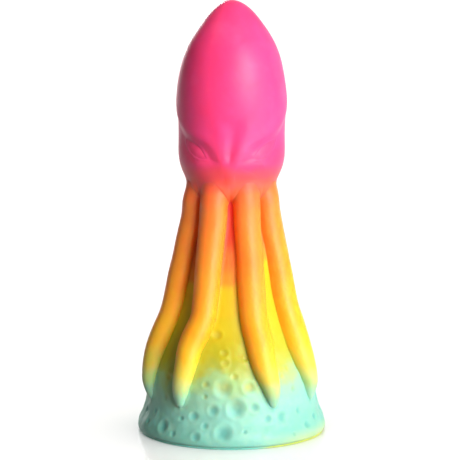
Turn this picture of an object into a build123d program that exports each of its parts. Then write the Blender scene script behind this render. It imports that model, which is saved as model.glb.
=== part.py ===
"""Octopus-shaped figure in soft silicone, standing upright on a cratered rock base.

A smooth pointed mantle sits on a slim core. Eight tapering arms hang from under the mantle, lie against
the core and end on the rock mound. The mound is a shell around the core's spigot, and a thin foot with a
shallow suction dish closes it underneath. Millimetres; +Z is up, the face looks along -Y, and the origin
is the centre of the ring that the figure stands on. Left and right are as seen from the front.
"""

from build123d import *
import math
import os

# Overall sizes
TOTAL_HEIGHT = 214.0
BASE_RADIUS = 47.0

# Mantle
NECK_HEIGHT = 125.0  # the crease where the mantle ends and the arms begin
MANTLE_RADIUS = 27.3
NECK_COVER = 3.6  # how far the neck reaches out past the circle of arm centres
SKIRT_DEPTH = 8.5  # the mantle's web, which runs down between the arms
SKIRT_INSET = 1.6  # how far the skirt's lower edge lies inside the circle of arm centres
SKIRT_BULGE = 0.8

# Eyes and their sockets, as half-sizes along, across and through the almond
EYE_HALF = (7.6, 2.7, 2.6)
SOCKET_HALF = (11.5, 6.4, 3.4)
EYE_SINK = 0.9  # how far an eye's centre lies below the mantle's surface
EYE_AZIMUTH = 41.0
FACE_TURN = -2.0  # the face looks a little past the front
EYE_ABOVE_NECK = 17.5
EYE_TILT = 33.0  # the outer corner is the higher one

# Arms
ARM_HALF_WIDTH = 6.6
ARM_GAP = 0.9  # between evenly spaced neighbours at the neck
ARM_LIFT = 2.0  # of an arm's centre line above the surface that it lies on
ARM_DEPTH_SHARE = 0.88  # an arm's half-depth over its half-width
ARM_TIP_HEIGHT = 18.0
ARM_TIP_SINK = 0.1  # share of an arm's length over which its lift fades to nothing at the tip
ARM_ROOT_RISE = 2.0  # how far the rounded root reaches up past the neck

# Rock mound, core and foot
MOUND_HEIGHT = 57.0  # the seam between the mound and the bare core
MOUND_WALL = 5.5  # the mound's wall at its top, around the core's spigot
RIM_HEIGHT = 2.2  # where the mound is widest
RIM_ROUND = 1.0
FOOT_THICKNESS = 6.0
FOOT_WALL = 5.0  # the mound's wall around the foot's plug
LIP_THICKNESS = 0.8  # the foot's edge that shows under the rim
LIP_INSET = 0.9
DISH_DEPTH = 3.2
REST_RING_WIDTH = 8.5  # the flat ring that the figure stands on

# The body under the arms, from the rim to the neck: share of the height, share of the flare from stem to rim
BODY_FLARE = [
    (0.09, 0.905),
    (0.19, 0.830),
    (0.29, 0.725),
    (0.38, 0.580),
    (0.46, 0.440),
    (0.60, 0.290),
    (0.76, 0.150),
    (0.90, 0.040),
    (1.00, 0.000),
]

BODY_TOP_SLOPE = (-0.3, 0, 1)

# The mantle above the neck, down from its tip: share of the mantle's radius, share of its height
MANTLE_SHAPE = [
    (0.270, 0.968),
    (0.540, 0.880),
    (0.802, 0.748),
    (0.949, 0.590),
    (1.000, 0.410),
    (0.968, 0.236),
    (0.958, 0.135),
    (0.890, 0.056),
]
MANTLE_HEM_SLOPE = (-0.35, 0, -1)

# An arm from its tip to its root: share of its length, share of its half-width
ARM_TAPER = [
    (0.000, 0.10),
    (0.022, 0.34),
    (0.060, 0.54),
    (0.115, 0.70),
    (0.180, 0.82),
    (0.250, 0.91),
    (0.320, 0.95),
    (0.390, 0.92),
    (0.500, 0.93),
    (0.640, 0.96),
    (0.780, 1.00),
    (0.895, 1.00),
    (0.955, 0.92),
    (0.985, 0.70),
    (1.000, 0.40),
]

# Where each arm lies around the body, in degrees at its tip, knee, waist and root, and its share of the
# width. On each side they are counted from the face to the back.
ARM_BENDS = (0.00, 0.24, 0.42, 1.00)
ARMS = {
    "left_arm_1": ((-33.8, -33.8, -26.8, -27.0), 1.03),
    "left_arm_2": ((-69.0, -76.5, -74.5, -71.8), 1.00),
    "left_arm_3": ((-120.0, -117.0, -117.0, -116.5), 0.96),
    "left_arm_4": ((-157.0, -156.0, -161.0, -159.9), 1.00),
    "right_arm_1": ((28.5, 22.8, 20.7, 23.0), 1.00),
    "right_arm_2": ((65.6, 64.5, 65.5, 67.3), 0.97),
    "right_arm_3": ((114.0, 116.0, 113.0, 112.0), 1.00),
    "right_arm_4": ((150.0, 156.0, 158.0, 155.9), 0.97),
}

# The arms set how thick the core is under the mantle: they stand side by side around it.
ARM_CIRCLE = (2 * ARM_HALF_WIDTH + ARM_GAP) / (2 * math.sin(math.pi / len(ARMS)))
STEM_RADIUS = ARM_CIRCLE - ARM_LIFT
NECK_RADIUS = ARM_CIRCLE + NECK_COVER
SKIRT_BOTTOM = NECK_HEIGHT - SKIRT_DEPTH
SKIRT_RADIUS = ARM_CIRCLE - SKIRT_INSET

# Craters on the front of the mound: azimuth in degrees, share of the mound's height, radius
FRONT_CRATERS = [
    (-6, 0.51, 4.0), (2, 0.60, 1.7), (-5, 0.71, 1.9), (-6, 0.79, 1.9), (-13, 0.93, 2.4), (-18, 0.53, 1.8),
    (-18, 0.43, 1.3), (-25, 0.26, 2.3), (-12, 0.32, 2.7), (3, 0.34, 4.2), (15, 0.34, 2.4), (24, 0.24, 1.9),
    (12, 0.51, 3.0), (-17, 0.19, 1.7), (-22, 0.10, 2.3), (-5, 0.14, 4.0), (-34, 0.23, 1.4), (-48, 0.14, 3.1),
    (-64, 0.14, 1.5), (-50, 0.38, 1.9), (-60, 0.24, 1.8), (8, 0.15, 1.2), (20, 0.17, 3.8), (34, 0.24, 3.0),
    (46, 0.46, 1.9), (44, 0.64, 1.5), (54, 0.14, 2.3), (41, 0.09, 1.4), (49, 0.27, 1.9), (-50, 0.55, 1.9),
    (38, 0.58, 1.6), (-70, 0.30, 1.2), (66, 0.18, 2.0), (-38, 0.10, 1.5), (11, 0.74, 1.3), (-40, 0.34, 1.2),
]
# The rest of the way round they are spaced by the golden angle, in rows that climb the mound.
BACK_CRATERS = 84
BACK_FROM, BACK_TO = 72.0, 286.0
GOLDEN_ANGLE = 137.508
CRATER_RADII = (3.6, 1.6, 2.4, 1.3, 2.0)
CRATER_ROWS = (0.10, 0.80)
CRATER_DEPTH_SHARE = 0.34  # of a crater's radius
CRATER_SPACING = 0.6  # bare surface kept between two craters
CRATER_FROM_ARM = 0.8  # bare surface kept between a crater and an arm

FAR = 2 * (TOTAL_HEIGHT + BASE_RADIUS)  # larger than anything here
OVAL_POINTS = 12


def smooth(share):
    """Runs from 0 to 1 with level ends."""
    share = min(1.0, max(0.0, share))
    return share * share * (3 - 2 * share)


def outward(azimuth):
    """The level direction at an azimuth, where 0 is the front."""
    angle = math.radians(azimuth)
    return Vector(math.sin(angle), -math.cos(angle), 0)


def sideways(azimuth):
    angle = math.radians(azimuth)
    return Vector(math.cos(angle), math.sin(angle), 0)


def body_outline():
    """The surface under the arms as a curve in the XZ plane, from the rim up to inside the mantle."""
    flare = BASE_RADIUS - STEM_RADIUS
    points = [(BASE_RADIUS, 0, RIM_HEIGHT)]
    points += [(STEM_RADIUS + f * flare, 0, h * NECK_HEIGHT) for h, f in BODY_FLARE]
    points.append((STEM_RADIUS - ARM_LIFT, 0, NECK_HEIGHT + 2 * ARM_ROOT_RISE))
    return Spline(*points, tangents=[(0, 0, 1), BODY_TOP_SLOPE])


BODY = body_outline()


def share_at(curve, height):
    """How far along a curve in the XZ plane a height lies. The height changes one way along it."""
    low, high = 0.0, 1.0
    rising = (curve @ 1).Z > (curve @ 0).Z
    for _ in range(40):
        middle = (low + high) / 2
        if ((curve @ middle).Z < height) == rising:
            low = middle
        else:
            high = middle
    return (low + high) / 2


def radius_at(curve, height):
    return (curve @ share_at(curve, height)).X


def surface_frame(curve, share, azimuth, lift):
    """A point over a turned surface and the surface's slope there: (place, up the slope)."""
    point, slope = curve @ share, curve % share
    if slope.Z < 0:
        slope = slope * -1
    radius, height = point.X + lift * slope.Z, point.Z - lift * slope.X
    out = outward(azimuth)
    return out * radius + Vector(0, 0, height), out * slope.X + Vector(0, 0, slope.Z)


def turned(*edges):
    """The solid that an outline in the XZ plane makes around the Z axis."""
    return revolve(Face(Wire(edges)), Axis.Z)


def slab(bottom, top, radius=FAR):
    """A round slab between two heights."""
    return Pos(0, 0, bottom) * Cylinder(radius, top - bottom, align=(Align.CENTER, Align.CENTER, Align.MIN))


def make_body():
    """Mound and core in one, from the floor to inside the mantle. They are cut from it."""
    top, rim = BODY @ 1, BODY @ 0
    return turned(
        Line((0, 0, 0), (rim.X, 0, 0)),
        Line((rim.X, 0, 0), rim),
        BODY,
        Line(top, (0, 0, top.Z)),
        Line((0, 0, top.Z), (0, 0, 0)),
    )


def mantle_outline():
    """From the tip down to the neck, in the XZ plane."""
    rise = TOTAL_HEIGHT - NECK_HEIGHT
    points = [(0, 0, TOTAL_HEIGHT)]
    points += [(r * MANTLE_RADIUS, 0, NECK_HEIGHT + h * rise) for r, h in MANTLE_SHAPE]
    points.append((NECK_RADIUS, 0, NECK_HEIGHT))
    return Spline(*points, tangents=[(1, 0, 0), MANTLE_HEM_SLOPE])


MANTLE = mantle_outline()


def make_mantle_blank():
    neck, hem = Vector(NECK_RADIUS, 0, NECK_HEIGHT), Vector(SKIRT_RADIUS, 0, SKIRT_BOTTOM)
    bulge = (neck + hem) / 2 + Vector(SKIRT_BULGE, 0, 0)
    return turned(
        MANTLE,
        ThreePointArc(neck, bulge, hem),
        Line(hem, (0, 0, SKIRT_BOTTOM)),
        Line((0, 0, SKIRT_BOTTOM), (0, 0, TOTAL_HEIGHT)),
    )


def eye_place(side, sink):
    """Where an eye lies on the mantle: X along the almond, Z out of the surface. side is -1 for the left."""
    share = share_at(MANTLE, NECK_HEIGHT + EYE_ABOVE_NECK)
    azimuth = side * EYE_AZIMUTH + FACE_TURN
    place, slope = surface_frame(MANTLE, share, azimuth, -sink)
    across = sideways(azimuth)
    plane = Plane(origin=place, x_dir=across, z_dir=across.cross(slope))
    return plane.location * Rot(0, 0, side * EYE_TILT)


def make_almond(half, side, sink):
    return eye_place(side, sink) * scale(Sphere(1), by=half)


def arm_azimuth(bends, share):
    """An arm's azimuth at a share of its length, eased from each bend to the next."""
    for i in range(len(ARM_BENDS) - 1):
        start, end = ARM_BENDS[i], ARM_BENDS[i + 1]
        if share <= end:
            return bends[i] + (bends[i + 1] - bends[i]) * smooth((share - start) / (end - start))
    return bends[-1]


def oval(half_width, half_depth):
    """A closed curve through points on an ellipse, which lofts more evenly than the ellipse itself."""
    angles = [2 * math.pi * i / OVAL_POINTS for i in range(OVAL_POINTS)]
    points = [(half_width * math.cos(angle), half_depth * math.sin(angle)) for angle in angles]
    return Face(Wire([Spline(*points, periodic=True)]))


def make_arm_blank(bends, width_share):
    """A whole tapering arm, before it is fitted to what it lies on."""
    tip, root = share_at(BODY, ARM_TIP_HEIGHT), share_at(BODY, NECK_HEIGHT + ARM_ROOT_RISE)
    sections = []
    for share, taper in ARM_TAPER:
        azimuth = arm_azimuth(bends, share)
        lift = ARM_LIFT * smooth(share / ARM_TIP_SINK)
        place, slope = surface_frame(BODY, tip + share * (root - tip), azimuth, lift)
        half = ARM_HALF_WIDTH * width_share * taper
        plane = Plane(origin=place, x_dir=sideways(azimuth), z_dir=slope)
        sections.append(plane * oval(half, half * ARM_DEPTH_SHARE))
    return loft(sections)


def arm_taper(along):
    """An arm's share of its half-width, at a share of its length."""
    for (start, here), (end, there) in zip(ARM_TAPER, ARM_TAPER[1:]):
        if along <= end:
            return here + (there - here) * (along - start) / (end - start)
    return ARM_TAPER[-1][1]


def arm_clearance(azimuth, height):
    """How far a point on the body lies from the nearest arm's edge, measured along the surface."""
    tip, root = share_at(BODY, ARM_TIP_HEIGHT), share_at(BODY, NECK_HEIGHT + ARM_ROOT_RISE)
    along = max(0.0, (share_at(BODY, height) - tip) / (root - tip))
    below_tip = max(0.0, ARM_TIP_HEIGHT - height)
    gaps = []
    for bends, width_share in ARMS.values():
        turn = abs((azimuth - arm_azimuth(bends, along) + 180) % 360 - 180)
        beside = math.radians(turn) * radius_at(BODY, height)
        gaps.append(math.hypot(beside, below_tip) - ARM_HALF_WIDTH * width_share * arm_taper(along))
    return min(gaps)


def crater_list():
    """Every crater as (azimuth, height, radius): none touches another, the seam, the rim or an arm."""
    wanted = [(azimuth, share * MOUND_HEIGHT, radius) for azimuth, share, radius in FRONT_CRATERS]
    for i in range(BACK_CRATERS):
        azimuth = BACK_FROM + (i * GOLDEN_ANGLE) % (BACK_TO - BACK_FROM)
        share = CRATER_ROWS[0] + (CRATER_ROWS[1] - CRATER_ROWS[0]) * i / BACK_CRATERS
        wanted.append((azimuth, share * MOUND_HEIGHT, CRATER_RADII[i % len(CRATER_RADII)]))
    kept = []
    for azimuth, height, radius in wanted:
        place = surface_frame(BODY, share_at(BODY, height), azimuth, 0)[0]
        clear = all((place - other).length > radius + r + CRATER_SPACING for other, r in kept)
        inside = RIM_HEIGHT + RIM_ROUND + radius < height < MOUND_HEIGHT - radius - CRATER_SPACING
        if clear and inside and arm_clearance(azimuth, height) > radius + CRATER_FROM_ARM:
            kept.append((place, radius))
            yield azimuth, height, radius


def make_craters():
    """One ball for each crater, placed so that it cuts a shallow dent of the crater's radius."""
    balls = []
    for azimuth, height, radius in crater_list():
        depth = CRATER_DEPTH_SHARE * radius
        ball = (radius**2 + depth**2) / (2 * depth)
        place, _ = surface_frame(BODY, share_at(BODY, height), azimuth, ball - depth)
        balls.append(Pos(*place) * Sphere(ball))
    return balls


def make_core(body):
    """The bare stem above the mound, with a spigot that runs down inside the mound to the foot."""
    spigot = radius_at(BODY, MOUND_HEIGHT) - MOUND_WALL
    return body & slab(MOUND_HEIGHT, SKIRT_BOTTOM), slab(FOOT_THICKNESS, MOUND_HEIGHT, spigot)


def make_foot():
    """A disc whose thin lip shows under the rim, with a plug above and a suction dish below."""
    lip_radius = BASE_RADIUS - LIP_INSET
    dish_radius = lip_radius - REST_RING_WIDTH
    ball = (dish_radius**2 + DISH_DEPTH**2) / (2 * DISH_DEPTH)
    plug = slab(LIP_THICKNESS, FOOT_THICKNESS, BASE_RADIUS - FOOT_WALL)
    return slab(0, LIP_THICKNESS, lip_radius) + plug - Pos(0, 0, DISH_DEPTH - ball) * Sphere(ball)


def make_mound(body, spigot):
    mound = body & slab(LIP_THICKNESS, MOUND_HEIGHT)
    rim = mound.edges().filter_by(GeomType.CIRCLE).group_by(Axis.Z)[0].sort_by(SortBy.RADIUS)[-1]
    mound = fillet(rim, RIM_ROUND)
    mound = mound - spigot - slab(LIP_THICKNESS, FOOT_THICKNESS, BASE_RADIUS - FOOT_WALL)
    return mound - make_craters()


def make_parts():
    body = make_body()
    stem, spigot = make_core(body)
    blanks = {name: make_arm_blank(*shape) for name, shape in ARMS.items()}
    mantle = make_mantle_blank() - list(blanks.values())
    parts = {name: blank - body for name, blank in blanks.items()}
    for name, side in (("left_eye", -1), ("right_eye", 1)):
        parts[name] = make_almond(EYE_HALF, side, EYE_SINK)
        mantle = mantle - make_almond(SOCKET_HALF, side, 0) - parts[name]
    parts["mantle"] = mantle
    parts["core"] = stem + spigot
    parts["rock_mound"] = make_mound(body, spigot)
    parts["suction_foot"] = make_foot()
    return parts


def main():
    os.makedirs("parts", exist_ok=True)
    for name, part in make_parts().items():
        export_step(part, f"parts/{name}.step")


main()
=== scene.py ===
"""Octopus-shaped figure in soft silicone, standing on its cratered rock base.

Every CAD node has a sculpted piece in its place, in the same frame. Shapes are worked out in
millimetres and go to Blender in metres. The mantle, the core and the mound are turned surfaces, pushed
in and out along their own normals; the arms are tapering tubes. Where two pieces meet, both swell by
about the same fillet, so the creases are soft, as in one casting. Left and right are the viewer's, the
face looks along -Y, and azimuth 0 is the front.
"""

import math

import bmesh
import bpy
import numpy as np
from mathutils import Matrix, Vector, noise


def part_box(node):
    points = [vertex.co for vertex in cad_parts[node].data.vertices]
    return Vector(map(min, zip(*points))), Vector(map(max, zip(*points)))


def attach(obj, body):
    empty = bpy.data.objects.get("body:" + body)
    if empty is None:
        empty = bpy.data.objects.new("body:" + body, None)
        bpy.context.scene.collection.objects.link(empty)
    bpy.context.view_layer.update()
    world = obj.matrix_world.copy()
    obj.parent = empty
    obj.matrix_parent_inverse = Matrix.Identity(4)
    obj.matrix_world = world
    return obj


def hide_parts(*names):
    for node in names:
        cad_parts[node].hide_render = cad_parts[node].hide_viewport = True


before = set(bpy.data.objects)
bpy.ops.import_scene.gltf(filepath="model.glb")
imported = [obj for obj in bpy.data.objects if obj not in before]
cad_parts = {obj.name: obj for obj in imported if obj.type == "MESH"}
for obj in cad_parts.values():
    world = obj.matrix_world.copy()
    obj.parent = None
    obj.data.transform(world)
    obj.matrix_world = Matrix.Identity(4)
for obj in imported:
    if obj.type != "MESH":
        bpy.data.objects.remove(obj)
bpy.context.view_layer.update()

MM = 0.001


def low(node, axis=2):
    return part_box(node)[0][axis] / MM


def high(node, axis=2):
    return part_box(node)[1][axis] / MM


# Sizes that the frame gives
TOTAL_HEIGHT = high("mantle")
MANTLE_RADIUS = high("mantle", 0)
SKIRT_BOTTOM = low("mantle")
BASE_RADIUS = high("rock_mound", 0)
MOUND_HEIGHT = high("rock_mound")
LIP_THICKNESS = low("rock_mound")
LIP_RADIUS = high("suction_foot", 0)
FOOT_THICKNESS = high("suction_foot")

# The rest of the construction, as in the CAD model
NECK_HEIGHT = 125.0
NECK_COVER = 3.6
SKIRT_INSET = 1.6
SKIRT_BULGE = 0.8
ARM_HALF_WIDTH = 6.6
ARM_GAP = 0.9
ARM_LIFT = 2.0
ARM_DEPTH_SHARE = 0.88
ARM_TIP_HEIGHT = 18.0
ARM_TIP_SINK = 0.1
ARM_ROOT_RISE = 2.0
MOUND_WALL = 5.5
RIM_HEIGHT = 2.2
RIM_ROUND = 1.0
FOOT_WALL = 5.0
DISH_DEPTH = 3.2
REST_RING_WIDTH = 8.5

# Where the line of the body starts, inside the rim and under it
RIM_TUCK, RIM_DROP = 0.15, 1.2

# The body under the arms: share of the neck's height, share of the flare from stem to rim
BODY_FLARE = [
    (0.09, 0.905),
    (0.19, 0.830),
    (0.29, 0.725),
    (0.38, 0.580),
    (0.46, 0.440),
    (0.60, 0.290),
    (0.76, 0.150),
    (0.90, 0.040),
    (1.00, 0.000),
]

# The mantle above the neck, down from its tip: share of the mantle's radius, share of its height
MANTLE_SHAPE = [
    (0.270, 0.968),
    (0.540, 0.880),
    (0.802, 0.748),
    (0.949, 0.590),
    (1.000, 0.410),
    (0.968, 0.236),
    (0.958, 0.135),
    (0.890, 0.056),
]

# An arm from its tip to its root: share of its length, share of its half-width. The CAD arm's root is
# rounded; here it runs on at full width into the mantle.
ARM_TAPER = [
    (0.000, 0.00),
    (0.004, 0.17),
    (0.022, 0.36),
    (0.060, 0.54),
    (0.115, 0.70),
    (0.180, 0.82),
    (0.250, 0.91),
    (0.320, 0.95),
    (0.390, 0.92),
    (0.500, 0.93),
    (0.640, 0.96),
    (0.780, 1.00),
    (0.895, 1.00),
    (0.955, 1.00),
    (1.000, 0.98),
]

# Where each arm lies, in degrees at its tip, knee, waist and root, and its share of the width. The tip
# of left_arm_1 and the lower halves of the second arms lie a degree or two off the CAD's.
ARM_BENDS = (0.00, 0.24, 0.42, 1.00)
ARMS = {
    "left_arm_1": ((-36.0, -33.8, -26.8, -27.0), 1.03),
    "left_arm_2": ((-69.0, -75.0, -73.5, -71.8), 1.00),
    "left_arm_3": ((-120.0, -117.0, -117.0, -116.5), 0.96),
    "left_arm_4": ((-157.0, -156.0, -161.0, -159.9), 1.00),
    "right_arm_1": ((28.5, 22.8, 20.7, 23.0), 1.00),
    "right_arm_2": ((64.6, 62.3, 64.2, 67.3), 0.97),
    "right_arm_3": ((114.0, 116.0, 113.0, 112.0), 1.00),
    "right_arm_4": ((150.0, 156.0, 158.0, 155.9), 0.97),
}

# Craters on the front of the mound: azimuth in degrees, share of the mound's height, radius
FRONT_CRATERS = [
    (-6, 0.51, 4.0), (2, 0.60, 1.7), (-5, 0.71, 1.9), (-6, 0.79, 1.9), (-13, 0.93, 2.4),
    (-18, 0.53, 1.8), (-18, 0.43, 1.3), (-25, 0.26, 2.3), (-12, 0.32, 2.7), (3, 0.34, 4.2),
    (15, 0.34, 2.4), (24, 0.24, 1.9), (12, 0.51, 3.0), (-17, 0.19, 1.7), (-22, 0.10, 2.3),
    (-5, 0.14, 4.0), (-34, 0.23, 1.4), (-48, 0.14, 3.1), (-64, 0.14, 1.5), (-50, 0.38, 1.9),
    (-60, 0.24, 1.8), (8, 0.15, 1.2), (20, 0.17, 3.8), (34, 0.24, 3.0), (46, 0.46, 1.9),
    (44, 0.64, 1.5), (54, 0.14, 2.3), (41, 0.09, 1.4), (49, 0.27, 1.9), (-50, 0.55, 1.9),
    (38, 0.58, 1.6), (-70, 0.30, 1.2), (66, 0.18, 2.0), (-38, 0.10, 1.5), (11, 0.74, 1.3),
    (-40, 0.34, 1.2),
]

# Craters on the back: how many are tried, between which azimuths and shares of the height, their radii
BACK_CRATERS = 84
BACK_FROM, BACK_TO = 72.0, 286.0
GOLDEN_ANGLE = 137.508
CRATER_RADII = (3.6, 1.6, 2.4, 1.3, 2.0)
CRATER_ROWS = (0.10, 0.80)
CRATER_SPACING = 0.6
CRATER_FROM_ARM = 0.8

# A crater's section, in shares of its radius
BOWL_EDGE = 1.2
BOWL_DEPTH, SMALL_BOWL_DEPTH = 0.24, 0.30
SMALL_CRATER = 1.5  # the largest radius with the deeper bowl
CRATER_RIM_AT, CRATER_RIM_WIDTH, CRATER_RIM_HEIGHT = 1.3, 0.25, 0.035
CRATER_REACH = 1.7

# Uneven skin: height and length of the waves, in millimetres
MANTLE_WAVES = (0.12, 16.0)
ROCK_WAVES = (0.55, 9.0)
ROCK_RIPPLES = (0.22, 3.6)
ARM_WAVES = (0.22, 11.0)
ARM_RIPPLES = (0.07, 4.2)
LIP_WAVES = (0.12, 6.0)

# Soft creases: how near two surfaces come before they swell towards each other
ARM_FILLET = 2.2
WEB_FILLET = 5.0
ROOT_FILLET = 3.0
SKIN_COVER = 1.5  # a fillet fades out this far inside an arm

# Other looks that the CAD model lacks
ROOT_TUCK = 2.3  # how far the arms' tops draw in under the mantle
TUCK_FROM, TUCK_OVER = 0.87, 0.12  # where along an arm that starts, and over which share of it
ARM_PLUMP = {"left_arm_2": 0.6, "right_arm_1": 0.6, "right_arm_2": 0.9}  # extra thickness below the waist
RIPPLE_LENGTH, RIPPLE_HEIGHT = 3.6, 0.22  # along the rear edges of all but the front arms
RIM_WOBBLE = 0.004  # share of the rim's radius
WAVE_CIRCLE = 30  # waves around a rim are read along a circle of this radius
YELLOW_LIP = (28, 96)  # the azimuths between which the lip is yellow
YELLOW_FADE = 14

# How fine the curves and meshes are
OUTLINE_STEPS = 900
MANTLE_OUTLINE_STEPS = 2400
TAPER_STEPS = 1200
BROW_STEPS = 160
COLUMNS = 480
AZIMUTHS = np.arange(COLUMNS) * 360 / COLUMNS
ARM_RINGS, ARM_SIDES = 150, 44
RINGS_TO_ENDS = 0.35  # how much closer an arm's rings lie towards its ends
MOUND_ROWS = 128
CORE_ROWS = 90
MANTLE_COARSE_ROWS, MANTLE_FINE_ROWS = 78, 170
MANTLE_FINE_BELOW = 40.0  # over the neck
DISH_RINGS = 14
EYE_STEPS = 40

ARM_CIRCLE = (2 * ARM_HALF_WIDTH + ARM_GAP) / (2 * math.sin(math.pi / len(ARMS)))
STEM_RADIUS = ARM_CIRCLE - ARM_LIFT
NECK_RADIUS = ARM_CIRCLE + NECK_COVER
SKIRT_RADIUS = ARM_CIRCLE - SKIRT_INSET


# ---------------------------------------------------------------- curves and turned surfaces


def smooth(share):
    """Runs from 0 to 1 with level ends."""
    share = np.clip(share, 0, 1)
    return share * share * (3 - 2 * share)


def window(value, start, end, fade):
    """1 between start and end, fading to 0 over a distance outside them."""
    return smooth((value - start + fade) / fade) * smooth((end + fade - value) / fade)


def bell(value, width):
    return np.exp(-((value / width) ** 2))


def spline_through(points, steps=OUTLINE_STEPS):
    """A dense run of points on the natural cubic spline through some points, evenly spaced."""
    points = np.array(points, float)
    knots = np.concatenate([[0], np.cumsum(np.linalg.norm(np.diff(points, axis=0), axis=1))])
    gaps, count = np.diff(knots), len(points)
    system, right = np.eye(count), np.zeros_like(points)
    for i in range(1, count - 1):
        system[i, i - 1 : i + 2] = gaps[i - 1], 2 * (gaps[i - 1] + gaps[i]), gaps[i]
        before = (points[i] - points[i - 1]) / gaps[i - 1]
        after = (points[i + 1] - points[i]) / gaps[i]
        right[i] = 6 * (after - before)
    bend = np.linalg.solve(system, right)
    at = np.linspace(0, knots[-1], steps)
    i = np.clip(np.searchsorted(knots, at) - 1, 0, count - 2)
    gap = gaps[i][:, None]
    a, b = (knots[i + 1] - at)[:, None] / gap, (at - knots[i])[:, None] / gap
    curve = a * points[i] + b * points[i + 1]
    curve += ((a**3 - a) * bend[i] + (b**3 - b) * bend[i + 1]) * gap**2 / 6
    return resample(curve, steps)


def resample(curve, steps):
    """The same run of points, evenly spaced."""
    length = np.concatenate([[0], np.cumsum(np.linalg.norm(np.diff(curve, axis=0), axis=1))])
    at = np.linspace(0, length[-1], steps)
    return np.stack([np.interp(at, length, column) for column in curve.T], axis=1)


class Turned:
    """A surface turned around Z from an outline of (radius, height) points, with its normals."""

    def __init__(self, outline):
        rising = outline[-1, 1] > outline[0, 1]
        self.outline = outline if rising else outline[::-1]
        slope = np.gradient(self.outline, axis=0)
        slope /= np.linalg.norm(slope, axis=1)[:, None]
        self.normal = np.stack([slope[:, 1], -slope[:, 0]], axis=1)

    def radius(self, height):
        return np.interp(height, self.outline[:, 1], self.outline[:, 0])

    def lean(self, height):
        """The outward and the upward part of the normal."""
        heights = self.outline[:, 1]
        out, up = self.normal.T
        return np.interp(height, heights, out), np.interp(height, heights, up)

    def gap(self, points):
        """Signed distance of points from the surface, good close to it."""
        radius = np.hypot(points[:, 0], points[:, 1])
        out, _ = self.lean(points[:, 2])
        gap = (radius - self.radius(points[:, 2])) * out
        bottom, top = self.outline[0, 1], self.outline[-1, 1]
        return past_ends(gap, points[:, 2], bottom, top)


def past_ends(gap, height, bottom, top):
    """The gap to a surface that ends at two heights, for points that may lie above or below it."""
    past = np.maximum(bottom - height, height - top)
    return np.where(past > 0, np.hypot(np.maximum(gap, 0), past), gap)


def outward(azimuth):
    """The level direction away from the axis."""
    angle = np.radians(azimuth)
    return np.stack([np.sin(angle), -np.cos(angle), np.zeros_like(angle)], axis=-1)


def sideways(azimuth):
    """The level direction around the axis."""
    angle = np.radians(azimuth)
    return np.stack([np.cos(angle), np.sin(angle), np.zeros_like(angle)], axis=-1)


def body_outline():
    """The core and the mound in one line, from under the rim to inside the mantle."""
    flare = BASE_RADIUS - STEM_RADIUS
    points = [(BASE_RADIUS - RIM_TUCK, RIM_HEIGHT - RIM_DROP), (BASE_RADIUS, RIM_HEIGHT)]
    points += [(STEM_RADIUS + f * flare, h * NECK_HEIGHT) for h, f in BODY_FLARE]
    points.append((STEM_RADIUS - ARM_LIFT, NECK_HEIGHT + 2 * ARM_ROOT_RISE))
    return spline_through(points)


def mantle_outline():
    """From the tip to the hem. Two points mirrored past the tip keep it round."""
    rise = TOTAL_HEIGHT - NECK_HEIGHT
    side = [(r * MANTLE_RADIUS, NECK_HEIGHT + h * rise) for r, h in MANTLE_SHAPE]
    mirrored = [(-r, h) for r, h in side[1::-1]]
    tip = (0, TOTAL_HEIGHT)
    neck = (NECK_RADIUS, NECK_HEIGHT)
    hem = (SKIRT_RADIUS, SKIRT_BOTTOM)
    middle = ((NECK_RADIUS + SKIRT_RADIUS) / 2 + SKIRT_BULGE, (NECK_HEIGHT + SKIRT_BOTTOM) / 2)
    curve = spline_through([*mirrored, tip, *side, neck, middle, hem], MANTLE_OUTLINE_STEPS)
    top = int(np.argmin(np.abs(curve[:, 0])))
    curve = curve[top:]
    curve[0, 0] = 0
    return curve


BODY = Turned(body_outline())
MANTLE = Turned(mantle_outline())
SPIGOT_RADIUS = float(BODY.radius(MOUND_HEIGHT)) - MOUND_WALL
PLUG_RADIUS = BASE_RADIUS - FOOT_WALL


# ---------------------------------------------------------------- arms as paths


def arm_azimuth(bends, share):
    """Azimuth along an arm, easing from bend to bend."""
    azimuth = np.full_like(share, bends[0])
    for i in range(len(ARM_BENDS) - 1):
        start, end = ARM_BENDS[i], ARM_BENDS[i + 1]
        azimuth = azimuth + (bends[i + 1] - bends[i]) * smooth((share - start) / (end - start))
    return azimuth


def arm_taper(share):
    """Share of the half-width along an arm, rounded at the tip."""
    stretch = 20  # an arm is about this many half-widths long, so the spline bends evenly
    places, widths = np.array(ARM_TAPER).T
    curve = spline_through(np.stack([places * stretch, widths], axis=1), TAPER_STEPS)
    return np.clip(np.interp(share * stretch, curve[:, 0], curve[:, 1]), 0, None)


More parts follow.
